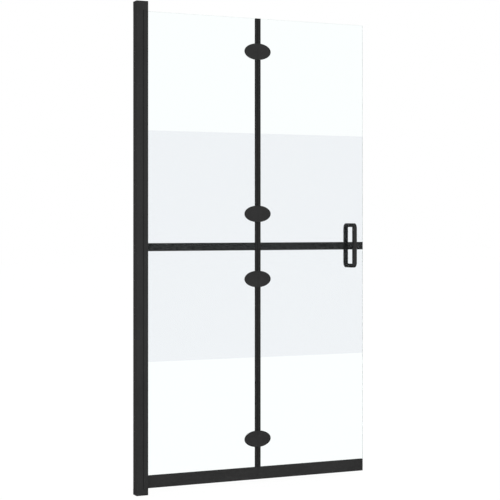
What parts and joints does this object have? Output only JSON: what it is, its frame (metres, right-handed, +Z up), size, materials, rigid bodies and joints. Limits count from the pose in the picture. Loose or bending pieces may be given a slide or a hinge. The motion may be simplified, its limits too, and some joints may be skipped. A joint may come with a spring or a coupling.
{
  "type": "folding shower screen",
  "caption": "Folding shower screen: two clear glass leaves with frosted band, black wall profile and rail, fold hinges and a pull handle; pivots at the wall.",
  "frame": {"origin": "on the wall face, at the foot of the wall profile, midway in its depth", "axes": "+X away from the wall along the closed screen, -Y towards the side the wall pivot opens to, +Z up"},
  "size_m": [1, 0.091, 1.9],
  "materials": {
    "black_profile": "satin black powder coat on extruded aluminium",
    "black_casting": "satin black powder coat on cast metal",
    "clear_glass": "5 mm toughened clear glass",
    "black_print": "black stripe on the glass",
    "frosted_print": "translucent frosted film",
    "black_rubber": "black seal rubber",
    "black_plastic": "black nylon",
    "black_steel": "blackened stainless steel screws",
    "steel": "stainless steel pins and studs"
  },
  "bodies": {
    "wall_side": {"wall_channel": "black_profile", "channel_cover": "black_profile", "wall_seal": "black_rubber", "bottom_pivot_block": "black_casting", "top_pivot_block": "black_casting", "block_screws": "black_steel", "pivot_pins": "steel"},
    "inner_leaf": {"hinge_pins": "steel", "hinge_washers": "black_plastic", "inner_bar_film": "black_print", "inner_drip_seal": "black_rubber", "inner_fold_seal": "black_rubber", "inner_frost_film": "frosted_print", "inner_glass": "clear_glass", "inner_hinge_backs": "black_casting", "inner_hinge_fronts": "black_casting", "inner_hinge_gaskets": "black_rubber", "inner_hinge_screws": "black_steel", "inner_hinge_sleeves": "black_plastic", "inner_rail": "black_profile", "inner_rail_gaskets": "black_rubber", "inner_rail_plugs": "black_plastic", "inner_setting_pads": "black_plastic", "pivot_bushes": "black_plastic", "stile": "black_profile", "stile_gaskets": "black_rubber"},
    "outer_leaf": {"handle_back": "black_casting", "handle_front": "black_casting", "handle_grub_screws": "black_steel", "handle_sleeves": "black_plastic", "handle_studs": "steel", "handle_washers": "black_rubber", "outer_bar_film": "black_print", "outer_drip_seal": "black_rubber", "outer_fold_seal": "black_rubber", "outer_frost_film": "frosted_print", "outer_glass": "clear_glass", "outer_hinge_backs": "black_casting", "outer_hinge_fronts": "black_casting", "outer_hinge_gaskets": "black_rubber", "outer_hinge_screws": "black_steel", "outer_hinge_sleeves": "black_plastic", "outer_rail": "black_profile", "outer_rail_gaskets": "black_rubber", "outer_rail_plugs": "black_plastic", "outer_setting_pads": "black_plastic", "hinge_bushes": "black_plastic"}
  },
  "joints": [
    {"name": "wall_pivot", "type": "hinge", "parent": "wall_side", "child": "inner_leaf", "pos_m": [0.0332, -0.014, 0.95], "axis": [0, 0, -1], "range_deg": [0, 90]},
    {"name": "fold_hinge", "type": "hinge", "parent": "inner_leaf", "child": "outer_leaf", "pos_m": [0.518, 0.009, 0.95], "axis": [0, 0, 1], "range_deg": [0, 170]}
  ]
}
